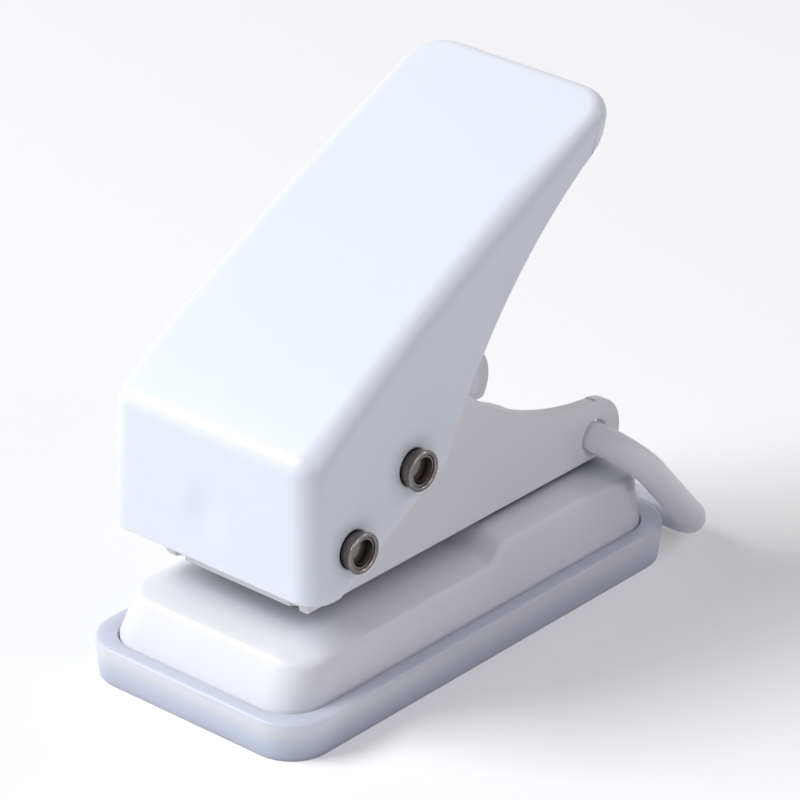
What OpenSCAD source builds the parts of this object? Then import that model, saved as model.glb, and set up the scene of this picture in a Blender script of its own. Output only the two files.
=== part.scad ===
// Single hole punch for the desk, in millimetres.
// A moulded lever turns on a front rivet; a second rivet in the lever pushes a round cutter down
// through the frame's floor and the paper into a die hole in the hollow base.
// Origin: middle of the tray's underside. +Z is up and the paper goes in from the front, at -Y.

/* [Base pan] */
// Length of the pan along the paper's way in
base_l = 76; // [72:0.5:84]
// Width of the pan
base_w = 34.6; // [33:0.2:40]
// Height of the front platform above the pan's lower edge
base_h = 11; // [10:0.25:13]
// Thickness of the pressed sheet
base_sheet = 1.2; // [0.8:0.1:1.4]
// Height of the upright skirt above the lower edge
base_skirt_h = 3.4; // [2.5:0.1:4]
// Lean of the sides and the rear above the skirt, in degrees
base_lean = 8; // [3:1:12]
// Lean of the front wall above the skirt, in degrees
base_front_lean = 26; // [14:1:28]
// Radius of the edge between wall and shoulder
base_edge_r = 1.6; // [1.5:0.1:2.4]
// Slope of the shoulder round the platforms, in degrees
base_shoulder_a = 25; // [15:1:32]
// Width of that shoulder
base_shoulder_w = 3.7; // [2:0.1:4.5]
// Radius of the pan's corners in plan
base_corner_r = 5.6; // [4:0.1:6]
// Where the middle of the step to the rear platform lies, behind the pan's middle
step_y = 4; // [0:0.1:6]
// Length of the step's S-curve
step_run = 3.6; // [3:0.2:8]
// Height of the gap that the paper slides into
throat = 3; // [1:0.1:4]
// Height of the pads that hold the frame off the rear platform
pad_h = 0.4; // [0.2:0.1:0.8]
// Diameter of those pads
pad_d = 7.6; // [6:0.1:9]

/* [Chip tray] */
// Thickness of the tray's floor
tray_floor = 1.4; // [0.8:0.1:2]
// Height of the ledge that the pan stands on
tray_seat_h = 2.6; // [2.2:0.1:4]
// Width of that ledge
tray_ledge_w = 1.7; // [1.3:0.1:2.5]
// Height of the rim above the table
tray_rim_h = 5.8; // [5:0.1:6.2]
// Thickness of the wall at the foot
tray_wall = 1.8; // [1.2:0.1:3]
// How far the wall flares out from foot to rim
tray_flare = 0.5; // [0:0.1:1]
// Radius of the tray's corners in plan
tray_corner_r = 6; // [4:0.1:7]
// Radius of the rim's outer edge
tray_rim_r = 1.2; // [0.5:0.1:1.6]
// Clearance round the pan
tray_gap = 0.3; // [0.15:0.05:0.6]

/* [Frame] */
// Width over the two side plates
frame_w = 25.6; // [23:0.2:28]
// Thickness of the frame's sheet
frame_sheet = 1.8; // [1.2:0.1:2.2]
// Inside radius of the bends along the floor
frame_bend_r = 0.8; // [0.4:0.1:1.6]
// Outside radius of the lower edges, pressed nearly sharp
frame_edge_r = 0.6; // [0.4:0.1:1.6]
// How far the lever's hinge lies behind the pan's front end
pivot_setback = 10.3; // [8:0.1:14]
// Height of the hinge above the frame's underside
pivot_h = 11; // [10:0.1:14]
// Radius of the plates' nose round the hinge
nose_r = 4.5; // [4:0.1:5]
// How far the bail's axis lies ahead of the pan's rear end
lug_setback = 8.7; // [6.5:0.1:12]
// Height of the bail's axis above the frame's underside
lug_h = 3.5; // [3.2:0.1:6]
// Radius of the lugs round the bail's axis
lug_r = 5.6; // [4:0.1:6]
// Radius of the hollow sweep between lug and lever
plate_sweep_r = 52; // [40:1:60]
// How far the floor stops short of the bail's axis
floor_setback = 6; // [5:0.5:10]
// How far the floor's front edge lies behind the plates' noses
floor_front = 2.2; // [0.5:0.1:3]
// Height of the collar that guides the cutter
collar_h = 2.4; // [1:0.1:2.6]
// Thickness of the collar's wall
collar_wall = 1.1; // [0.8:0.1:1.5]
// Radius of the relief notches at the front corners of the floor
relief_r = 0.8; // [0.4:0.1:1.2]

/* [Lever] */
// Slope of the lever's roof at rest, in degrees
roof_a = 28; // [24:0.5:30]
// Distance from the hinge to the crown of the roof
roof_h = 17.5; // [17:0.1:20]
// Radius of the roof's gentle crown along its length
crown_r = 350; // [300:10:600]
// Distance from the hinge to the front face
lever_front = 7.9; // [7.5:0.1:10]
// How far the front wall reaches below the hinge
lever_drop = 6.2; // [5:0.1:8]
// How far the side walls reach below the hinge, square to the roof
lever_skirt = 4.2; // [4:0.1:6]
// Wall thickness
lever_wall = 2.2; // [1.6:0.1:2.6]
// Gap between a side plate and the lever's wall at the hinge
lever_side_gap = 3.5; // [2.5:0.1:4]
// Draft of the side walls, in degrees
lever_draft = 1.9; // [0.5:0.1:3]
// Taper of each side from the hinge to the tip, in degrees
lever_taper = 0.9; // [0:0.1:1.5]
// Radius of the roof's edges
lever_edge_r = 3; // [2.4:0.1:3.4]
// Radius of the upright front corners
lever_corner_r = 3.8; // [3.5:0.1:6]
// Radius of the tip's corners in plan
tip_corner_r = 6; // [4:0.1:7]
// Depth of the lip round the tip
lip_h = 3.9; // [3.4:0.1:5]
// How far the tip ends behind the bail's axis when the lever is down
tip_over = 12.8; // [9:0.1:14]
// Radius of the hollow sweep under the lever
lever_sweep_r = 80; // [70:1:95]
// How far behind the hinge that sweep runs into the lip
lever_sweep_u = 67; // [62:0.5:68]
// Radius of the side walls' lower rear corner
skirt_corner_r = 6; // [3:0.1:8]
// Turn of the lever from rest to its stop, in degrees
travel = 35; // [30:0.5:36]
// Radius of the bosses round the rivets
boss_r = 3.9; // [3.6:0.1:4.2]
// Gap left between roof and plates when the lever is down
stop_gap = 0.4; // [0.3:0.1:1]

/* [Rivets] */
// Outside diameter of the two rivets with hollow ends
rivet_d = 5.1; // [4.6:0.1:6]
// Wall round their hollow ends
rivet_wall = 0.65; // [0.5:0.05:1]
// How deep the bore goes in from each end
rivet_bore = 1.4; // [1:0.1:4]
// How far their rolled ends stand out of the lever
rivet_proud = 1.9; // [1.5:0.1:3]
// Radius of the rolled bead at each end
rivet_bead_r = 0.35; // [0.3:0.05:0.6]
// Distance between hinge rivet and drive rivet
drive_r = 14; // [13:0.1:16]
// Direction from hinge to drive rivet at rest, in degrees above level
drive_a = 31.3; // [29:0.1:34]
// Shank diameter of the rivets that hold the frame on the pan
foot_rivet_d = 3.2; // [2.4:0.1:4]
// Head diameter of those rivets
foot_head_d = 5.6; // [4.8:0.1:7]
// Head height of those rivets
foot_head_h = 1.2; // [0.8:0.1:1.6]
// Distance between those rivets
foot_pitch = 8; // [7.5:0.5:10]

/* [Cutter] */
// Diameter of the cutter, and so of the hole
pin_d = 6; // [5:0.1:6.5]
// How far the cutter's points stop above the frame's underside at rest
pin_lift = 0.6; // [0.2:0.1:1.2]
// Depth of the hollow ground into the cutter's end
pin_hollow = 1; // [0.4:0.1:1.4]
// Length of cutter above the clip's groove
pin_head_h = 1.2; // [0.8:0.1:1.6]
// Depth of the clip's groove
groove_depth = 0.6; // [0.4:0.05:0.8]
// Thickness of the retaining clip
clip_t = 0.6; // [0.4:0.05:0.8]
// Radius that the clip stands out beyond the cutter
clip_proud = 1.5; // [1:0.1:2]
// Thickness of the washer
washer_t = 0.7; // [0.5:0.05:1]
// Wire diameter of the spring
wire_d = 0.6; // [0.5:0.05:0.7]
// Turns of the spring
spring_turns = 3.5; // [3:0.5:4]

/* [Bail] */
// Thickness of the bail's rod
bail_d = 4.3; // [3.4:0.1:4.8]
// Gap between the bail's legs and the lever's lip
bail_side_gap = 0.5; // [0.4:0.1:2]
// Radius of the bends at the lugs, at the middle of the rod
bail_bend_r = 6.8; // [2.8:0.1:7]
// Radius of the bends at the crossbar, at the middle of the rod
bail_end_r = 3.4; // [2.8:0.1:7]
// Height of the hanging crossbar above the table
bail_lift = 0.8; // [0.2:0.1:2]
// How far the rod's ends reach in past the plates
bail_stub = 1; // [0.5:0.1:2]

/* [Clearances] */
// Radial clearance of parts that turn or slide on each other
run_clear = 0.05; // [0.02:0.01:0.1]
// Radial clearance of parts that stay put in their holes
fit_clear = 0.02; // [0.01:0.01:0.05]
// Clearance of the drive rivet in the frame's slots
slot_clear = 0.3; // [0.2:0.05:0.5]
// Clearance of the rod in the lugs
bail_clear = 0.5; // [0.1:0.05:0.6]
// Gap between drive rivet and cutter
drive_gap = 0.1; // [0.05:0.05:0.2]
// Sideways gap between the lever's bosses and the plates
boss_gap = 0.25; // [0.15:0.05:0.5]
// Gap between the bail's crossbar and the tip as it swings past
lock_gap = 1.3; // [0.6:0.1:2.4]
// Gap between the spring and what it goes round or stands on
spring_gap = 0.3; // [0.2:0.05:0.5]

/* [Hidden] */

$fn = 64;
hull_fn = 32;
// Overshoot of cutting shapes
over = 1;
// Size of anything that must outreach the whole object
far = 200;

// Heights that the pieces share
z_skirt = tray_seat_h + base_skirt_h;
z_front = tray_seat_h + base_h;
z_rear = z_front + throat;
z_floor = z_rear + frame_sheet;

// Hinge, bail axis, drive rivet and cutter
pivot_y = pivot_setback - base_l / 2;
pivot_z = z_rear + pivot_h;
lug_y = base_l / 2 - lug_setback;
lug_z = z_rear + lug_h;
rivet_r = rivet_d / 2;
drive_y = pivot_y + drive_r * cos(drive_a);
drive_z = pivot_z + drive_r * sin(drive_a);
pin_r = pin_d / 2;
pin_y = pivot_y + drive_r * (cos(drive_a) + cos(drive_a - travel)) / 2;
pin_top = drive_z - rivet_r - drive_gap;
pin_tip = z_rear + pin_lift;
clip_z = pin_top - pin_head_h - clip_t;
washer_z = clip_z - washer_t;

// Lever: u runs along the roof from the hinge, w stands square to the roof
press_a = roof_a - travel;
lug_u = (lug_y - pivot_y) * cos(press_a) + (lug_z - pivot_z) * sin(press_a);
lug_w = (lug_z - pivot_z) * cos(press_a) - (lug_y - pivot_y) * sin(press_a);
tip_u = lug_u + tip_over;
lip_r = lip_h / 2;
half_at_hinge = frame_w / 2 + lever_side_gap + lever_wall;
crown_u = (tip_u - lever_front) / 2;
function roof(u) = roof_h - pow(u - crown_u, 2) / (2 * crown_r);
function lever_half(u, w) = half_at_hinge - w * tan(lever_draft) - u * tan(lever_taper);
drive_u = drive_r * cos(drive_a - roof_a);
drive_w = drive_r * sin(drive_a - roof_a);

// Bail
bail_r = bail_d / 2;
bail_reach = norm([tip_u - lip_r - lug_u, roof(tip_u) - lip_r - lug_w]) + lip_r + lock_gap + bail_r;
bail_leg_x = lever_half(lug_u, roof(lug_u) - lip_h) + bail_side_gap + bail_r;
bail_hang = asin((lug_z - bail_r - bail_lift) / bail_reach);

// Spring round the collar, between the floor and the washer
wire_r = wire_d / 2;
collar_r = pin_r + run_clear + collar_wall;
coil_rings = 8;
coil_sides = 6;
coil_r = (collar_r + spring_gap + wire_r) / cos(180 / coil_rings);
washer_r = coil_r + wire_r + spring_gap;

// Points along an arc, in degrees
function arc(n, a0, a1) = [for (i = [0:n]) a0 + (a1 - a0) * i / n];

// Rounded rectangle, w across X and l along Y
module rounded_rect(w, l, r) {
    square([w, l - 2 * r], center = true);
    square([w - 2 * r, l], center = true);
    for (x = [-1, 1], y = [-1, 1])
        translate([x * (w / 2 - r), y * (l / 2 - r)])
            circle(r);
}

// Ring with a round edge, as wide as plan_r, for hulls with soft edges
module edge_ring(plan_r, edge_r) {
    rotate_extrude($fn = hull_fn)
        intersection() {
            translate([plan_r - edge_r, 0])
                circle(edge_r, $fn = hull_fn);
            translate([0, -edge_r])
                square([plan_r, 2 * edge_r]);
        }
}

// A side view, with Y to the right and Z up, made h wide about the middle plane
module across(h) {
    rotate([90, 0, 90])
        linear_extrude(h, center = true)
            children();
}

// Places children in the lever's own directions: Y along u and Z along w
module on_lever() {
    translate([0, pivot_y, pivot_z])
        rotate([roof_a, 0, 0])
            children();
}

// Rod along X from x0 to x1
module rod(r, x0, x1) {
    translate([x0, 0, 0])
        rotate([0, 90, 0])
            cylinder(r = r, h = x1 - x0);
}

// Base pan: rings of points from the lower edge up over the shoulder, the top following the step
step_n = 8;
corner_n = 5;
edge_n = 5;
half_n = 2 * (corner_n + 1) + step_n + 1;
ring_n = 2 * half_n;
edge_z = z_front - base_shoulder_w * tan(base_shoulder_a) - base_edge_r * cos(base_shoulder_a);
step_stations = [for (i = [0:step_n]) step_y + step_run * (i / step_n - 1 / 2)];

// How far in the centre of the edge's curve lies, over a wall of that lean
function edge_in(lean) = (edge_z + base_edge_r * sin(lean) - z_skirt) * tan(lean)
                         + base_edge_r * cos(lean);
// Inset of a wall at the turn t of that curve; below its own lean the wall is flat
function wall_in(lean, t, r) =
    edge_in(lean) - r * (t < lean ? cos(lean) + (sin(lean) - sin(t)) * tan(lean) : cos(t));

// The step, set back by half the depth o so that the sheet keeps its thickness
function s_curve(t) = t <= 0 ? 0 : t >= 1 ? 1 : t * t * (3 - 2 * t);
function rise(y, o) = (throat - pad_h) * s_curve((y - o / 2 - step_y) / step_run + 1 / 2);

// Each level is the inset of sides and rear, that of the front, a height and the share of the step
// that the height takes up; o is the depth below the outside
function pan_levels(o, z_low) =
    let (r = base_edge_r - o, a = 90 - base_shoulder_a, run = base_shoulder_w - o * tan(base_shoulder_a / 2))
    concat([[o, o, z_low, 0], [o, o, z_skirt, 0]],
           [for (t = concat(base_lean, arc(edge_n, base_front_lean, a)))
               [wall_in(base_lean, t, r), wall_in(base_front_lean, t, r), edge_z + r * sin(t), 1]],
           [[wall_in(base_lean, a, r) + run, wall_in(base_front_lean, a, r) + run, z_front - o, 1]]);

function pan_half(level, r, o) =
    let (b = base_w / 2 - level[0], rear = base_l / 2 - level[0], front = level[1] - base_l / 2)
    concat([for (t = arc(corner_n, -90, 0)) [b - r + r * cos(t), front + r + r * sin(t)]],
           [for (y = step_stations) [b, y + o / 2]],
           [for (t = arc(corner_n, 0, 90)) [b - r + r * cos(t), rear - r + r * sin(t)]]);

function pan_ring(level, o) =
    let (half = pan_half(level, base_corner_r - o, o))
    let (all = concat(half, [for (i = [half_n - 1:-1:0]) [-half[i][0], half[i][1]]]))
    [for (p = all) [p[0], p[1], level[2] + level[3] * rise(p[1], o)]];

// Two triangles for a face with corners a, b, c, d
function quad(a, b, c, d) = [[a, b, c], [a, c, d]];

function pan_faces(n) = concat(
    [for (k = [0:n - 2], i = [0:ring_n - 1])
        let (j = (i + 1) % ring_n, lo = k * ring_n, hi = lo + ring_n)
        each quad(lo + i, hi + i, hi + j, lo + j)],
    [for (i = [0:half_n - 2])
        let (top = (n - 1) * ring_n, m = ring_n - 1 - i)
        each quad(top + i, top + m, top + m - 1, top + i + 1)],
    [for (i = [0:half_n - 2])
        let (m = ring_n - 1 - i)
        each quad(i, i + 1, m - 1, m)]);

module pan(o, z_low) {
    levels = pan_levels(o, z_low);
    polyhedron([for (v = levels) each pan_ring(v, o)], pan_faces(len(levels)));
}

// Places children at the two rivets that hold the frame on the rear platform
foot_y = (step_y + step_run / 2 + lug_y - floor_setback) / 2;
module at_foot_rivets() {
    for (s = [-1, 1])
        translate([0, foot_y + s * foot_pitch / 2, 0])
            children();
}

module base() {
    color("white")
        difference() {
            union() {
                pan(0, tray_seat_h);
                at_foot_rivets()
                    translate([0, 0, z_rear - pad_h - base_sheet / 2])
                        cylinder(d = pad_d, h = pad_h + base_sheet / 2);
            }
            pan(base_sheet, tray_seat_h - over);
            // Die hole
            translate([0, pin_y, tray_seat_h])
                cylinder(r = pin_r + run_clear, h = z_rear);
            at_foot_rivets()
                translate([0, 0, z_skirt])
                    cylinder(d = foot_rivet_d + 2 * fit_clear, h = z_rear);
        }
}

// Tray: a flared shell with a ledge under the pan's edge and a space for the chips below it
tray_foot_l = base_l + 2 * (tray_gap + tray_wall);
tray_foot_w = base_w + 2 * (tray_gap + tray_wall);
tray_corner_x = tray_foot_w / 2 - tray_corner_r;
tray_corner_y = tray_foot_l / 2 - tray_corner_r;
module chip_tray() {
    recess_l = base_l + 2 * tray_gap;
    recess_w = base_w + 2 * tray_gap;
    recess_r = base_corner_r + tray_gap;
    color("lavender")
        difference() {
            hull()
                for (x = [-1, 1], y = [-1, 1])
                    translate([x * tray_corner_x, y * tray_corner_y, 0]) {
                        cylinder(r = tray_corner_r, h = tray_rim_r, $fn = hull_fn);
                        translate([0, 0, tray_rim_h - tray_rim_r])
                            edge_ring(tray_corner_r + tray_flare, tray_rim_r);
                    }
            translate([0, 0, tray_seat_h])
                linear_extrude(tray_rim_h)
                    rounded_rect(recess_w, recess_l, recess_r);
            translate([0, 0, tray_floor])
                linear_extrude(tray_rim_h)
                    rounded_rect(recess_w - 2 * tray_ledge_w, recess_l - 2 * tray_ledge_w,
                                 recess_r - tray_ledge_w);
        }
}

// Frame: the channel's cross-section and the plates' side view, cut from each other
module channel_half(half, r, h) {
    translate([r - half, 0])
        square([2 * (half - r), h]);
    translate([-half, r])
        square([2 * half, h - r]);
    for (s = [-1, 1])
        translate([s * (half - r), r])
            circle(r);
}

module channel(h) {
    difference() {
        channel_half(frame_w / 2, frame_edge_r, h);
        translate([0, frame_sheet])
            channel_half(frame_w / 2 - frame_sheet, frame_bend_r, h);
    }
}

// The plates' top edge runs along the roof's inside as it lies when the lever is down
top_h = roof(0) - lever_wall - stop_gap;
function top_z(y) = pivot_z + (top_h + (y - pivot_y) * sin(press_a)) / cos(press_a);
nose_d = norm([drive_y - pivot_y, top_z(drive_y) - pivot_z]);
nose_a = atan2(top_z(drive_y) - pivot_z, drive_y - pivot_y) + acos(nose_r / nose_d);
// Lean of the line from lug to the sweep's centre
sweep_lean = 5;

// The slot's round ends stand a little proud of its sides
module drive_slot() {
    half = rivet_r + slot_clear;
    side = half - run_clear;
    a0 = drive_a - travel;
    reach = 2 * drive_r;
    for (a = [a0, drive_a])
        rotate(a)
            translate([drive_r, 0])
                circle(half);
    intersection() {
        difference() {
            circle(drive_r + side);
            circle(drive_r - side);
        }
        polygon([[0, 0], reach * [cos(a0), sin(a0)], reach * [cos(drive_a), sin(drive_a)]]);
    }
}

floor_y = pivot_y - nose_r + floor_front;
module plate_side() {
    difference() {
        union() {
            difference() {
                polygon([[floor_y, z_rear], [lug_y, z_rear], [lug_y, top_z(lug_y)],
                         [drive_y, top_z(drive_y)],
                         [pivot_y + nose_r * cos(nose_a), pivot_z + nose_r * sin(nose_a)],
                         [pivot_y - nose_r, pivot_z]]);
                translate([lug_y, lug_z])
                    rotate(90 - sweep_lean)
                        translate([plate_sweep_r + lug_r, 0])
                            circle(plate_sweep_r, $fn = 2 * $fn);
            }
            translate([pivot_y, pivot_z])
                circle(nose_r);
            intersection() {
                translate([lug_y, lug_z])
                    circle(lug_r);
                translate([pivot_y, z_rear])
                    square([far, far]);
            }
        }
        translate([pivot_y, pivot_z]) {
            circle(rivet_r + fit_clear);
            drive_slot();
        }
        translate([lug_y, lug_z])
            circle(bail_r + bail_clear);
    }
}

module frame() {
    inner_half = frame_w / 2 - frame_sheet;
    color("white")
        difference() {
            union() {
                intersection() {
                    translate([0, lug_y + 2 * lug_r, z_rear])
                        rotate([90, 0, 0])
                            linear_extrude(base_l)
                                channel(far);
                    across(frame_w + over)
                        plate_side();
                }
                // Collar drawn up from the floor
                translate([0, pin_y, z_rear])
                    cylinder(r = collar_r, h = frame_sheet + collar_h);
            }
            translate([0, pin_y, z_rear - over])
                cylinder(r = pin_r + run_clear, h = far);
            at_foot_rivets()
                translate([0, 0, z_rear - over])
                    cylinder(d = foot_rivet_d + 2 * fit_clear, h = frame_sheet + 2 * over);
            // The floor stops short of the lugs
            translate([-inner_half, lug_y - floor_setback, z_rear - over])
                cube([2 * inner_half, far, frame_sheet + frame_bend_r + over]);
            for (s = [-1, 1])
                translate([s * (inner_half - frame_bend_r), floor_y, z_rear - over])
                    cylinder(r = relief_r, h = frame_sheet + 2 * over);
        }
}

// Lever: outside and hollow are hulls with the same draft
low_z = pivot_z - lever_drop - lever_edge_r;
front_y = pivot_y - lever_front + lever_corner_r;
front_w = roof(0) - lever_edge_r - (lever_corner_r - lever_edge_r) * sin(roof_a);
front_z = pivot_z + (front_w + (front_y - pivot_y) * sin(roof_a)) / cos(roof_a);
rear_y = pivot_y + lever_sweep_u / 2;
function to_u(y, z) = (y - pivot_y) * cos(roof_a) + (z - pivot_z) * sin(roof_a);
function to_w(y, z) = (z - pivot_z) * cos(roof_a) - (y - pivot_y) * sin(roof_a);
// Half the width at a point in side view
function half_at(y, z) = lever_half(to_u(y, z), to_w(y, z));
// Corners of the tip, square to the crowned roof
corner_u = tip_u - tip_corner_r;
corner_x = lever_half(corner_u, roof(corner_u) - lip_r) - tip_corner_r;
corner_a = -asin((corner_u - crown_u) / crown_r);
// Stations that carry the roof's crown
crown_n = 8;
crown_stations = [for (i = [1:crown_n - 1]) corner_u * i / crown_n];

// Corner posts of the hulls' lower end, r thick at the front and drawn in by inset
module lower_posts(r, inset, z) {
    for (s = [-1, 1]) {
        translate([s * (half_at(front_y, z) - lever_corner_r), front_y, z])
            cylinder(r = r, h = over / 10, $fn = hull_fn);
        translate([s * (half_at(rear_y, z) - inset - over), rear_y, z])
            cylinder(r = over, h = over / 10, $fn = hull_fn);
    }
}

// Round edges of the roof at each station, r in radius and drawn in by inset
module roof_edges(r, inset) {
    on_lever()
        for (s = [-1, 1], u = crown_stations)
            translate([s * (lever_half(u, roof(u) - inset - r) - inset - r), u, roof(u) - inset - r])
                rotate([90, 0, 0])
                    cylinder(r = r, h = over / 10, $fn = hull_fn);
}

// Places children at the two corners of the tip, with the roof's outside at height 0
module at_tip() {
    on_lever()
        for (s = [-1, 1])
            translate([s * corner_x, corner_u, roof(corner_u)])
                rotate([corner_a, 0, 0])
                    children();
}

module at_front() {
    for (s = [-1, 1])
        translate([s * (half_at(front_y, front_z) - lever_corner_r), front_y, front_z])
            children();
}

module lever_outside() {
    hull() {
        lower_posts(lever_corner_r, 0, low_z);
        at_front()
            edge_ring(lever_corner_r, lever_edge_r);
        roof_edges(lever_edge_r, 0);
        at_tip()
            translate([0, 0, -lip_r])
                edge_ring(tip_corner_r, lip_r);
    }
}

module lever_hollow() {
    edge_r = max(lever_edge_r - lever_wall, lever_wall / 10);
    hull() {
        lower_posts(lever_corner_r - lever_wall, lever_wall, low_z - over);
        at_front()
            edge_ring(lever_corner_r - lever_wall, edge_r);
        roof_edges(edge_r, lever_wall);
        at_tip()
            translate([0, 0, -2 * lip_h])
                cylinder(r = tip_corner_r - lever_wall, h = 2 * lip_h - lever_wall, $fn = hull_fn);
    }
}

// Side view of what stays of the lever, in u and w
module lever_side() {
    lip_w = roof(lever_sweep_u) - lip_h;
    sweep_w = lip_w - lever_sweep_r;
    round_w = skirt_corner_r - lever_skirt;
    round_u = lever_sweep_u - sqrt(pow(lever_sweep_r + skirt_corner_r, 2) - pow(round_w - sweep_w, 2));
    round_a = atan2(sweep_w - round_w, lever_sweep_u - round_u);
    corner_d = skirt_corner_r / cos((90 + round_a) / 2);
    intersection() {
        difference() {
            translate([-far, -lever_skirt])
                square([2 * far, far]);
            translate([lever_sweep_u, sweep_w])
                circle(lever_sweep_r, $fn = 2 * $fn);
            translate([lever_sweep_u, -lever_skirt - over])
                square([far, lip_w + lever_skirt + over]);
            // Round corner between the skirt and the sweep
            translate([round_u, round_w])
                difference() {
                    polygon([[0, 0], [0, -skirt_corner_r - over],
                             (corner_d + over) * [cos((round_a - 90) / 2), sin((round_a - 90) / 2)],
                             (skirt_corner_r + over) * [cos(round_a), sin(round_a)]]);
                    circle(skirt_corner_r);
                }
        }
        rotate(-roof_a)
            translate([-far, -lever_drop])
                square([2 * far, 2 * far]);
    }
}

module lever() {
    color("aliceblue")
        difference() {
            union() {
                difference() {
                    intersection() {
                        lever_outside();
                        on_lever()
                            across(far)
                                lever_side();
                    }
                    lever_hollow();
                }
                // Bosses that keep the walls off the side plates
                for (s = [-1, 1], p = [[pivot_y, pivot_z], [drive_y, drive_z]])
                    translate([0, p[0], p[1]])
                        rotate([0, 90 - 90 * s, 0])
                            rod(boss_r, frame_w / 2 + boss_gap, half_at(p[0], p[1]) - lever_wall / 2);
            }
            translate([0, pivot_y, pivot_z])
                rod(rivet_r + run_clear, -far, far);
            translate([0, drive_y, drive_z])
                rod(rivet_r + fit_clear, -far, far);
        }
}

// Rivet across the lever, half_l long to each side, with a bore and a rolled bead at both ends
module tube_rivet(half_l) {
    bead_x = half_l - rivet_bead_r;
    rotate([0, 90, 0])
        rotate_extrude() {
            translate([0, rivet_bore - half_l])
                square([rivet_r, 2 * (half_l - rivet_bore)]);
            translate([rivet_r - rivet_wall, -bead_x])
                square([rivet_wall, 2 * bead_x]);
            for (s = [-1, 1])
                translate([rivet_r, s * bead_x])
                    circle(rivet_bead_r);
        }
}

module pivot_rivet() {
    color("dimgray")
        translate([0, pivot_y, pivot_z])
            tube_rivet(lever_half(0, 0) + rivet_proud);
}

module drive_rivet() {
    color("dimgray")
        translate([0, drive_y, drive_z])
            tube_rivet(lever_half(drive_u, drive_w) + rivet_proud);
}

// Cutter: round, with a clip groove near the top and a hollow ground across its end
groove_r = pin_r - groove_depth;
module punch_pin() {
    chamfer = pin_head_h / 3;
    grind_r = (pin_r * pin_r + pin_hollow * pin_hollow) / (2 * pin_hollow);
    color("silver")
        difference() {
            translate([0, pin_y, 0])
                rotate_extrude()
                    polygon([[0, pin_tip], [pin_r, pin_tip], [pin_r, clip_z], [groove_r, clip_z],
                             [groove_r, clip_z + clip_t], [pin_r, clip_z + clip_t],
                             [pin_r, pin_top - chamfer], [pin_r - chamfer, pin_top], [0, pin_top]]);
            translate([0, pin_y, pin_tip + pin_hollow - grind_r])
                rod(grind_r, -pin_d, pin_d);
        }
}

module spring_washer() {
    color("silver")
        translate([0, pin_y, washer_z])
            difference() {
                cylinder(r = washer_r, h = washer_t);
                translate([0, 0, -over])
                    cylinder(r = pin_r + run_clear, h = washer_t + 2 * over);
            }
}

module retaining_clip() {
    color("dimgray")
        translate([0, pin_y, clip_z])
            difference() {
                cylinder(r = pin_r + clip_proud, h = clip_t);
                translate([0, 0, -over])
                    cylinder(r = groove_r + fit_clear, h = clip_t + 2 * over);
                // Mouth that snaps over the groove
                translate([-groove_r * cos(30), 0, -over])
                    cube([2 * groove_r * cos(30), far, clip_t + 2 * over]);
            }
}

// Spring: one tube of rings along a helix, with a straight end one wire thick at each end
coil_low = z_floor + wire_r + fit_clear;
coil_high = washer_z - wire_r - fit_clear;
coil_count = spring_turns * coil_rings;
coil_path = concat(
    [[coil_r, -wire_d, coil_low, 0]],
    [for (i = [0:coil_count])
        let (a = 360 * i / coil_rings)
        [coil_r * cos(a), coil_r * sin(a), coil_low + (coil_high - coil_low) * i / coil_count, a]],
    [let (a = 360 * spring_turns)
        [coil_r * cos(a) - wire_d * sin(a), coil_r * sin(a) + wire_d * cos(a), coil_high, a]]);
coil_points = [for (p = coil_path, k = [0:coil_sides - 1])
    let (t = 360 * k / coil_sides)
    [p[0] + wire_r * cos(t) * cos(p[3]), p[1] + wire_r * cos(t) * sin(p[3]), p[2] + wire_r * sin(t)]];
coil_faces = concat(
    [for (j = [0:len(coil_path) - 2], k = [0:coil_sides - 1])
        let (m = (k + 1) % coil_sides, lo = j * coil_sides, hi = lo + coil_sides)
        each quad(lo + k, lo + m, hi + m, hi + k)],
    [for (k = [1:coil_sides - 2]) [0, k + 1, k]],
    [for (k = [1:coil_sides - 2])
        let (e = (len(coil_path) - 1) * coil_sides)
        [e, e + k, e + k + 1]]);
// Least gap of the spring to itself, between points at least half a turn apart
coil_gap = min([for (i = [0:len(coil_path) - 1])
    for (j = [i + coil_rings / 2:1:len(coil_path) - 1])
        norm([for (c = [0:2]) coil_path[i][c] - coil_path[j][c]])]) - wire_d;
echo(spring_gap_to_itself = coil_gap);

module punch_spring() {
    color("silver")
        translate([0, pin_y, 0])
            polyhedron(coil_points, coil_faces);
}

module frame_rivets() {
    under_z = z_rear - pad_h - base_sheet;
    foot_r = foot_rivet_d / 2;
    head_r = foot_head_d / 2;
    chamfer = foot_head_h / 2;
    color("silver")
        at_foot_rivets()
            rotate_extrude()
                polygon([[0, under_z - chamfer], [head_r - chamfer, under_z - chamfer], [head_r, under_z],
                         [foot_r, under_z], [foot_r, z_floor], [head_r, z_floor],
                         [head_r, z_floor + chamfer], [head_r - chamfer, z_floor + foot_head_h],
                         [0, z_floor + foot_head_h]]);
}

// Quarter bend of the bail's rod; the straights run a little way into it
bend_swell = 0.04;
bend_in = 0.3;
module bail_bend(bend_r) {
    rotate_extrude(angle = 90)
        translate([bend_r, 0])
            circle(bail_r + bend_swell);
}

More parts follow.
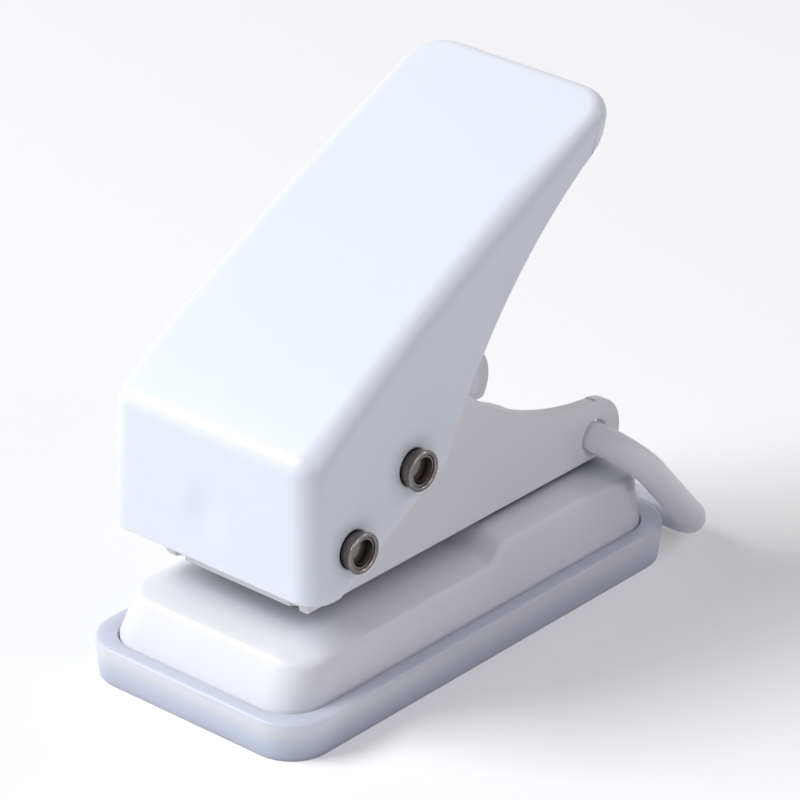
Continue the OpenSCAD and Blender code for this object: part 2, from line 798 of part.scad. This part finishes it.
module lock_bail() {
    stub_x = frame_w / 2 - frame_sheet - bail_stub;
    leg_h = bail_reach - bail_end_r - bail_bend_r + 2 * bend_in;
    bar_x = bail_leg_x - bail_end_r;
    color("white")
        translate([0, lug_y, lug_z])
            rotate([-bail_hang, 0, 0]) {
                for (turn = [0, 180])
                    rotate([0, turn, 0]) {
                        rod(bail_r, stub_x, bail_leg_x - bail_bend_r + bend_in);
                        translate([bail_leg_x - bail_bend_r, bail_bend_r, 0])
                            rotate([0, 0, -90])
                                bail_bend(bail_bend_r);
                        translate([bail_leg_x, bail_bend_r - bend_in, 0])
                            rotate([-90, 0, 0])
                                cylinder(r = bail_r, h = leg_h);
                        translate([bar_x, bail_reach - bail_end_r, 0])
                            bail_bend(bail_end_r);
                    }
                translate([0, bail_reach, 0])
                    rod(bail_r, -bar_x - bend_in, bar_x + bend_in);
            }
}

lever();
frame();
base();
chip_tray();
pivot_rivet();
drive_rivet();
punch_pin();
punch_spring();
spring_washer();
retaining_clip();
frame_rivets();
lock_bail();
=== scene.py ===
"""A white single hole punch on a pale floor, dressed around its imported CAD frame."""
import math

import bmesh
import bpy
from mathutils import Matrix, Vector


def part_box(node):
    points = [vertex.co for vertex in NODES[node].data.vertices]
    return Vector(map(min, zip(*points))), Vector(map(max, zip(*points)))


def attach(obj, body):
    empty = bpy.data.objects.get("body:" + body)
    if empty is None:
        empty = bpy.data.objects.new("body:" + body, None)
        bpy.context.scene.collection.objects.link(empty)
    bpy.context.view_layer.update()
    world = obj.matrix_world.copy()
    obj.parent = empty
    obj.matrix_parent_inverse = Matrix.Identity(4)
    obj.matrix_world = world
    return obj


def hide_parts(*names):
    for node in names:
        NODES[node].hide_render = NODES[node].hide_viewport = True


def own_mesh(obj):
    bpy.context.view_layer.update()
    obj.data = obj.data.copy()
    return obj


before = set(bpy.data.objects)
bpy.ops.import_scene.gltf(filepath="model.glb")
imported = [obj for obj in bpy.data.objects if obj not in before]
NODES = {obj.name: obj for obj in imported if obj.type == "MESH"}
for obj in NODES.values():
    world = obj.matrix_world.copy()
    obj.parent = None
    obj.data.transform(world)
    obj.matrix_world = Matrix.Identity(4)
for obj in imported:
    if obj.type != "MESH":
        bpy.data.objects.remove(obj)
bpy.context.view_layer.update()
SCENE = bpy.context.scene
MM = 0.001

# Looks. Heights and reaches are in mm, the sink mark's place is in metres, colours are linear.
NOISE_SPAN = (0.3, 0.7)       # the part of a noise's range that the ramps spread out
GAP_SHADE_SAMPLES = 8
# Painted shade: the enamel's dark gap colour is laid into gaps and corners by ambient occlusion.
GAP_SHADE_FADE_MM = 2.0            # soil fades out over this height below its lowest place
ENAMEL_GAP_SHADE = (0.08, 0.10, 0.15)
# The nickel's dark colour is a tarnish in its hollows and also painted shade in the rivets' bores
# and necks.
NICKEL_PATINA_AND_SHADE = (0.035, 0.026, 0.022)
PATINA_AND_SHADE_REACH_MM = 1.5
PATINA_AND_SHADE_SPAN = (0.35, 0.85)
SINK_MARK = (-0.0005, -0.0356, 0.0290)
SINK_RADIUS = 4.5 * MM
SINK_DEPTH = 0.3 * MM
SINK_STRETCH = (1, 1, 0.8)
# The tray wall's colours by height in mm: the lighter band near 4.2 to 5.2 mm is painted light,
# the white pan seen through the wall.
TRAY_COLOURS = ((0.0, (0.60, 0.65, 0.82)), (1.6, (0.64, 0.69, 0.86)), (4.2, (0.83, 0.86, 0.97)),
                (5.2, (0.83, 0.86, 0.97)), (5.7, (0.71, 0.75, 0.93)), (5.8, (0.71, 0.75, 0.93)))
TRAY_WAVER_MM = 0.3

# Forms
TRAY_RIM_ROUND = 1.2 * MM     # the solid's rounded rim
TRAY_PLAN_ROUND = 6.5 * MM    # the tray's corners, seen from above
TRAY_RIM_POWER = 1 / 3        # 1 leaves the rim as it is, a smaller power draws it out
WELD = 0.002 * MM
FLAT_DEG = 0.15               # facets that differ by less become one face
SHARP_DEG = 35.0              # edges that turn by more are broken
BEVEL_SEGMENTS = 3
NORMAL_WEIGHT = 70
SPRING_WIRE_R = 0.3 * MM
SPRING_TURNS = 3.5
SPRING_RINGS = 28             # rings of the wire's mesh in a turn
SPRING_SIDES = 10


# Materials

class Nodes:
    """A new material's node tree, with short calls to add and join nodes."""

    def __init__(self, name):
        self.material = bpy.data.materials.new(name)
        self.material.use_nodes = True
        self.tree = self.material.node_tree
        self.shader = self.tree.nodes["Principled BSDF"]
        self.output = self.tree.nodes["Material Output"]

    def add(self, kind, **settings):
        node = self.tree.nodes.new("ShaderNode" + kind)
        for key, value in settings.items():
            setattr(node, key, value)
        return node

    def join(self, source, target):
        self.tree.links.new(source, target)

    def place(self):
        """Object coordinates, which are the frame's metres and move with the piece."""
        return self.add("TexCoord").outputs["Object"]

    def height(self):
        """The object coordinates' Z."""
        split = self.add("SeparateXYZ")
        self.join(self.place(), split.inputs[0])
        return split.outputs["Z"]

    def noise(self, scale, detail=3.0, stretch=(1, 1, 1)):
        mapping = self.add("Mapping")
        mapping.inputs["Scale"].default_value = stretch
        self.join(self.place(), mapping.inputs["Vector"])
        node = self.add("TexNoise")
        node.inputs["Scale"].default_value = scale
        node.inputs["Detail"].default_value = detail
        self.join(mapping.outputs["Vector"], node.inputs["Vector"])
        return node.outputs["Fac"]

    def map_range(self, source, span, low=0.0, high=1.0, **settings):
        """A value that runs from low to high with the source's span, and stays within them."""
        node = self.add("MapRange", **settings)
        for key, value in zip(("From Min", "From Max", "To Min", "To Max"), (*span, low, high)):
            node.inputs[key].default_value = value
        self.join(source, node.inputs["Value"])
        return node.outputs["Result"]

    def between(self, noise, low, high):
        """A value from low to high, by a noise."""
        return self.map_range(noise, NOISE_SPAN, low, high)

    def colour_ramp(self, source, stops):
        """A colour by the source: stops are pairs of a place from 0 to 1 and a colour."""
        node = self.add("ValToRGB")
        marks = node.color_ramp.elements
        while len(marks) < len(stops):
            marks.new(0.5)
        for mark, (position, colour) in zip(marks, stops):
            mark.position = position
            mark.color = (*colour, 1)
        self.join(source, node.inputs["Fac"])
        return node.outputs["Color"]

    def cloudy(self, scale, low, high):
        """A colour from low to high, by a noise of its own."""
        return self.colour_ramp(self.noise(scale), tuple(zip(NOISE_SPAN, (low, high))))

    def by_height(self, stops, noise, waver_mm):
        """A colour that changes with height; the noise moves it up and down a little."""
        top = stops[-1][0]
        moved = self.add("Math", operation="ADD")
        self.join(self.height(), moved.inputs[0])
        self.join(self.between(noise, -waver_mm * MM / 2, waver_mm * MM / 2), moved.inputs[1])
        share = self.map_range(moved.outputs[0], (0.0, top * MM))
        return self.colour_ramp(share, [(z / top, colour) for z, colour in stops])

    def blob(self, centre, radius, stretch):
        """A value that falls smoothly from 1 at the centre to 0 at the radius."""
        offset = self.add("VectorMath", operation="SUBTRACT")
        offset.inputs[1].default_value = centre
        self.join(self.place(), offset.inputs[0])
        scaled = self.add("VectorMath", operation="MULTIPLY")
        scaled.inputs[1].default_value = stretch
        self.join(offset.outputs[0], scaled.inputs[0])
        length = self.add("VectorMath", operation="LENGTH")
        self.join(scaled.outputs[0], length.inputs[0])
        return self.map_range(length.outputs["Value"], (0.0, radius), 1.0, 0.0,
                              interpolation_type="SMOOTHSTEP")

    def darken_in_gaps(self, unshaded, gap_colour, reach_mm, span, above_mm=None):
        """The colour unshaded, turned towards the darker gap colour in gaps and corners that
        ambient occlusion finds: painted shade.

        With above_mm, only places above this height get the painted shade."""
        # Painted shade: the colour turns darker where ambient occlusion finds the surface closed
        # in.
        open_sky = self.add("AmbientOcclusion", samples=GAP_SHADE_SAMPLES)
        open_sky.inputs["Distance"].default_value = reach_mm * MM
        if above_mm is not None:
            fade = ((above_mm - GAP_SHADE_FADE_MM) * MM, above_mm * MM)
            reach = self.map_range(self.height(), fade, 0.0, reach_mm * MM)
            self.join(reach, open_sky.inputs["Distance"])
        mix = self.add("Mix", data_type="RGBA")
        share, gap_colour_in, unshaded_in = (mix.inputs[k] for k in (0, 6, 7))
        gap_colour_in.default_value = (*gap_colour, 1)
        self.join(self.map_range(open_sky.outputs["AO"], span), share)
        self.join(unshaded, unshaded_in)
        return mix.outputs[2]

    def bump(self, height, strength, distance, under=None, dent=False):
        node = self.add("Bump", invert=dent)
        node.inputs["Strength"].default_value = strength
        node.inputs["Distance"].default_value = distance
        self.join(height, node.inputs["Height"])
        if under is not None:
            self.join(under, node.inputs["Normal"])
        return node.outputs["Normal"]

    def set(self, **values):
        for key, value in values.items():
            self.shader.inputs[key.replace("_", " ")].default_value = value

    def feed(self, **sources):
        for key, source in sources.items():
            self.join(source, self.shader.inputs[key.replace("_", " ")])


def moulded(name, low, high, rough, sink=None):
    """Glossy moulded plastic: faint cloudiness and a very fine grain from the tool's surface.

    A sink mark, the faint dent over a rib, lies at the point sink."""
    n = Nodes(name)
    n.set(IOR=1.49, Subsurface_Weight=0.12, Subsurface_Scale=0.002,
          Subsurface_Radius=(1.0, 0.9, 0.8))
    normal = n.bump(n.noise(scale=2200.0, detail=2.0), strength=0.05, distance=0.03 * MM)
    if sink is not None:
        normal = n.bump(n.blob(sink, SINK_RADIUS, SINK_STRETCH), strength=1.0,
                        distance=SINK_DEPTH, under=normal, dent=True)
    n.feed(Base_Color=n.cloudy(45.0, low, high),
           Roughness=n.between(n.noise(scale=160.0), rough - 0.02, rough + 0.03),
           Normal=normal)
    return n.material


def enamel(name, low, high, gap_shade_mm, span, above_mm=None):
    """Sprayed enamel on steel sheet: a slight orange peel, and shade painted darker into the
    gaps.
    """
    n = Nodes(name)
    n.set(IOR=1.5, Coat_Weight=0.1, Coat_Roughness=0.32)
    unshaded = n.cloudy(60.0, low, high)
    n.feed(Base_Color=n.darken_in_gaps(unshaded, ENAMEL_GAP_SHADE, gap_shade_mm, span, above_mm),
           Roughness=n.between(n.noise(scale=220.0), 0.38, 0.46),
           Normal=n.bump(n.noise(scale=900.0, detail=2.0), strength=0.18, distance=0.06 * MM))
    return n.material


def milky(name, stops):
    """Translucent soft plastic over a white pan: the wall's colour changes with height in mm, and
    its lighter band is painted light, the white pan seen through the wall.
    """
    n = Nodes(name)
    n.set(IOR=1.46, Transmission_Weight=0.15, Subsurface_Weight=0.9, Subsurface_Scale=0.003,
          Subsurface_Radius=(1.0, 1.0, 1.0))
    n.feed(Base_Color=n.by_height(stops, n.noise(scale=70.0), TRAY_WAVER_MM),
           Roughness=n.between(n.noise(scale=180.0), 0.30, 0.42),
           Normal=n.bump(n.noise(scale=700.0, detail=2.0), strength=0.12, distance=0.05 * MM))
    return n.material


def metal(name, low, high, rough, stretch, patina_and_shade=None):
    """Bare metal with fine drawn or turned lines.

    A dark tarnish stays in corners and wears off raised edges, and shade is painted darker with
    it into the same hollows."""
    n = Nodes(name)
    n.set(Metallic=1.0)
    lines = n.noise(scale=900.0, detail=2.0, stretch=stretch)
    colour = n.cloudy(300.0, low, high)
    if patina_and_shade is not None:
        colour = n.darken_in_gaps(colour, patina_and_shade, PATINA_AND_SHADE_REACH_MM, PATINA_AND_SHADE_SPAN)
    n.feed(Base_Color=colour,
           Roughness=n.between(lines, rough - 0.08, rough + 0.12),
           Normal=n.bump(lines, strength=0.25, distance=0.03 * MM))
    return n.material


MATERIALS = {
    "lever": moulded("lever_plastic", (0.81, 0.86, 0.945), (0.82, 0.868, 0.95), rough=0.30,
                     sink=SINK_MARK),
    "lock_bail": moulded("bail_plastic", (0.89, 0.90, 0.97), (0.91, 0.92, 0.985), rough=0.34),
    # The frame's and the base's enamel get painted shade in their gaps; the base's reaches wide,
    # under the frame and the lever's front.
    "frame": enamel("frame_enamel", (0.80, 0.80, 0.83), (0.82, 0.82, 0.85), gap_shade_mm=0.6,
                    span=(0.1, 0.6)),
    "base": enamel("base_enamel", (0.83, 0.84, 0.88), (0.85, 0.86, 0.90), gap_shade_mm=4.4,
                   span=(0.1, 0.72), above_mm=12.0),
    "chip_tray": milky("tray_plastic", TRAY_COLOURS),
    # Rivets: a tarnish and painted shade darken the bores and the necks.
    "pivot_rivet": metal("rivet_nickel", (0.15, 0.132, 0.130), (0.26, 0.232, 0.228), rough=0.16,
                         stretch=(6, 1, 1), patina_and_shade=NICKEL_PATINA_AND_SHADE),
    "punch_pin": metal("ground_steel", (0.55, 0.55, 0.56), (0.66, 0.66, 0.67), rough=0.30,
                       stretch=(1, 1, 8)),
}
for name in ("drive_rivet", "retaining_clip"):
    MATERIALS[name] = MATERIALS["pivot_rivet"]
for name in ("punch_spring", "spring_washer", "frame_rivets"):
    MATERIALS[name] = MATERIALS["punch_pin"]

for name, node in NODES.items():
    node.data.materials.clear()
    node.data.materials.append(MATERIALS[name])


# Pieces

def finish_piece(piece, node, body):
    """Gives a piece its material and smooth shading, and lets it stand for its CAD node."""
    SCENE.collection.objects.link(piece)
    piece.data.materials.clear()
    piece.data.materials.append(MATERIALS[node])
    for face in piece.data.polygons:
        face.use_smooth = True
    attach(piece, body)
    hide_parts(node)


def crisp_rim(bm):
    """Draws the tray's rounded rim out to a flat top with a tight outer edge."""
    high = Vector(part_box("chip_tray")[1])
    for vert in bm.verts:
        over = [max(abs(vert.co[k]) - (high[k] - TRAY_PLAN_ROUND), 0.0) for k in (0, 1)]
        reach = math.hypot(*over)
        inset = (TRAY_PLAN_ROUND - reach) / TRAY_RIM_ROUND
        drop = (high.z - vert.co.z) / TRAY_RIM_ROUND
        if reach == 0 or inset > 1 or drop > 1:
            continue
        out = (1 - max(inset, 0.0)) ** TRAY_RIM_POWER - (1 - inset)
        rise = (1 - max(drop, 0.0)) ** TRAY_RIM_POWER - (1 - drop)
        for k in (0, 1):
            vert.co[k] += math.copysign(out * TRAY_RIM_ROUND * over[k] / reach, vert.co[k])
        vert.co.z += rise * TRAY_RIM_ROUND


def softened(node, body, round_mm, reshape=None):
    """The node's own form, with broken edges and its facets shaded as the curves they are."""
    mesh = NODES[node].data.copy()
    bm = bmesh.new()
    bm.from_mesh(mesh)
    bmesh.ops.remove_doubles(bm, verts=bm.verts, dist=WELD)
    bmesh.ops.dissolve_limit(bm, angle_limit=math.radians(FLAT_DEG), verts=bm.verts,
                             edges=bm.edges)
    if reshape is not None:
        reshape(bm)
    edges = [edge for edge in bm.edges
             if edge.is_manifold and edge.calc_face_angle() > math.radians(SHARP_DEG)]
    bmesh.ops.bevel(bm, geom=edges, offset=round_mm * MM, offset_type="OFFSET",
                    segments=BEVEL_SEGMENTS, profile=0.5, affect="EDGES", clamp_overlap=False)
    bm.to_mesh(mesh)
    bm.free()
    piece = bpy.data.objects.new(node + "_form", mesh)
    finish_piece(piece, node, body)
    piece.modifiers.new("normals", "WEIGHTED_NORMAL").weight = NORMAL_WEIGHT


def make_spring():
    """The return spring as a fine coil with closed ends."""
    low, high = (Vector(corner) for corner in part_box("punch_spring"))
    middle = (low + high) / 2
    height = high.z - low.z
    radius = (high.x - low.x) / 2 - SPRING_WIRE_R
    count = int(SPRING_TURNS * SPRING_RINGS)
    verts, faces = [], []
    for i in range(count + 1):
        t = i / count
        turn = 2 * math.pi * SPRING_TURNS * t
        rise = (t * t * (3 - 2 * t)) * 0.5 + t * 0.5      # slower at both ends, which closes them
        z = low.z + SPRING_WIRE_R + (height - 2 * SPRING_WIRE_R) * rise
        out = Vector((math.cos(turn), math.sin(turn), 0))
        centre = Vector((middle.x, middle.y, z)) + out * radius
        for k in range(SPRING_SIDES):
            side = 2 * math.pi * k / SPRING_SIDES
            around = out * math.cos(side) + Vector((0, 0, math.sin(side)))
            verts.append(centre + around * SPRING_WIRE_R)
    for i in range(count):
        for k in range(SPRING_SIDES):
            a = i * SPRING_SIDES + k
            b = i * SPRING_SIDES + (k + 1) % SPRING_SIDES
            faces.append((a, b, b + SPRING_SIDES, a + SPRING_SIDES))
    faces.append(tuple(range(SPRING_SIDES - 1, -1, -1)))
    faces.append(tuple(range(count * SPRING_SIDES, (count + 1) * SPRING_SIDES)))
    mesh = bpy.data.meshes.new("spring_coil")
    mesh.from_pydata(verts, [], faces)
    piece = bpy.data.objects.new("spring_coil", mesh)
    finish_piece(piece, "punch_spring", "body")
    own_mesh(piece)


softened("lever", "lever", round_mm=0.35)
softened("frame", "body", round_mm=0.18)
softened("base", "body", round_mm=0.2)
softened("chip_tray", "tray", round_mm=0.1, reshape=crisp_rim)
make_spring()


# Floor, light and camera

def seen_rays(tree):
    """A socket that is 1 for what the camera, reflections and clear plastic see, and else 0."""
    path = tree.nodes.new("ShaderNodeLightPath")
    seen = path.outputs["Is Camera Ray"]
    for other in ("Is Glossy Ray", "Is Transmission Ray"):
        either = tree.nodes.new("ShaderNodeMath")
        either.operation = "MAXIMUM"
        tree.links.new(seen, either.inputs[0])
        tree.links.new(path.outputs[other], either.inputs[1])
        seen = either.outputs[0]
    return seen


def make_floor(half, colour, glow):
    """A pale sheet that keeps the shadow; the glow adds white to what is seen of it."""
    mesh = bpy.data.meshes.new("floor")
    corners = [(-half, -half, 0), (half, -half, 0), (half, half, 0), (-half, half, 0)]
    mesh.from_pydata(corners, [], [(0, 1, 2, 3)])
    floor = bpy.data.objects.new("floor", mesh)
    SCENE.collection.objects.link(floor)
    n = Nodes("floor_paper")
    n.tree.nodes.remove(n.shader)
    diffuse = n.add("BsdfDiffuse")
    diffuse.inputs["Color"].default_value = (*colour, 1)
    strength = n.add("Math", operation="MULTIPLY")
    strength.inputs[1].default_value = glow
    n.join(seen_rays(n.tree), strength.inputs[0])
    white = n.add("Emission")
    n.join(strength.outputs[0], white.inputs["Strength"])
    both = n.add("AddShader")
    n.join(diffuse.outputs[0], both.inputs[0])
    n.join(white.outputs[0], both.inputs[1])
    n.join(both.outputs[0], n.output.inputs["Surface"])
    mesh.materials.append(n.material)


def make_world(colour, strength):
    """Even studio light; what is seen of it is plain white."""
    world = bpy.data.worlds.new("studio")
    world.use_nodes = True
    SCENE.world = world
    tree = world.node_tree
    light = tree.nodes["Background"]
    light.inputs["Color"].default_value = (*colour, 1)
    light.inputs["Strength"].default_value = strength
    white = tree.nodes.new("ShaderNodeBackground")
    white.inputs["Color"].default_value = (1, 1, 1, 1)
    white.inputs["Strength"].default_value = 1.0
    mix = tree.nodes.new("ShaderNodeMixShader")
    tree.links.new(seen_rays(tree), mix.inputs["Fac"])
    tree.links.new(light.outputs[0], mix.inputs[1])
    tree.links.new(white.outputs[0], mix.inputs[2])
    tree.links.new(mix.outputs[0], tree.nodes["World Output"].inputs["Surface"])


def area_light(name, place, target, size, power, colour):
    light = bpy.data.lights.new(name, "AREA")
    light.shape = "RECTANGLE"
    light.size, light.size_y = size
    light.energy = power
    light.color = colour
    lamp = bpy.data.objects.new(name, light)
    lamp.location = place
    aim = Vector(target) - Vector(place)
    lamp.rotation_euler = aim.to_track_quat("-Z", "Y").to_euler()
    SCENE.collection.objects.link(lamp)


def make_camera(azimuth, elevation, roll, shift_mm, distance_mm, lens):
    """Looks at the frame's origin from the given side, moved by shift in its own directions."""
    a, e, r = (math.radians(angle) for angle in (azimuth, elevation, roll))
    back = Vector((math.sin(a) * math.cos(e), -math.cos(a) * math.cos(e), math.sin(e)))
    level = Vector((math.cos(a), math.sin(a), 0))
    upright = back.cross(level)
    right = math.cos(r) * level + math.sin(r) * upright
    up = math.cos(r) * upright - math.sin(r) * level
    place = (back * distance_mm - right * shift_mm[0] - up * shift_mm[1]) * MM
    turn = Matrix((right, up, back)).transposed().to_4x4()
    data = bpy.data.cameras.new("camera")
    data.sensor_width = 36.0
    data.lens = lens
    data.clip_start = 0.01
    camera = bpy.data.objects.new("camera", data)
    camera.matrix_world = Matrix.Translation(place) @ turn
    SCENE.collection.objects.link(camera)
    SCENE.camera = camera


make_floor(half=0.9, colour=(0.86, 0.86, 0.87), glow=0.22)
make_world(colour=(0.98, 0.95, 1.0), strength=0.17)
area_light("key", place=(-0.85, -0.99, 1.13), target=(0, 0, 0.03), size=(0.96, 0.96),
           power=28.8, colour=(0.98, 0.99, 1.0))
area_light("back", place=(0.50, 0.74, 0.64), target=(0, 0, 0.02), size=(0.4, 0.1),
           power=1.1, colour=(1.0, 0.95, 0.99))
area_light("right", place=(0.85, -0.05, 0.60), target=(0, 0, 0.03), size=(0.5, 0.5),
           power=1.35, colour=(1.0, 0.95, 0.99))
make_camera(azimuth=40.593, elevation=26.94, roll=0.738, shift_mm=(-2.091, -29.022),
            distance_mm=662.922, lens=216.0)

SCENE.view_settings.view_transform = "Standard"
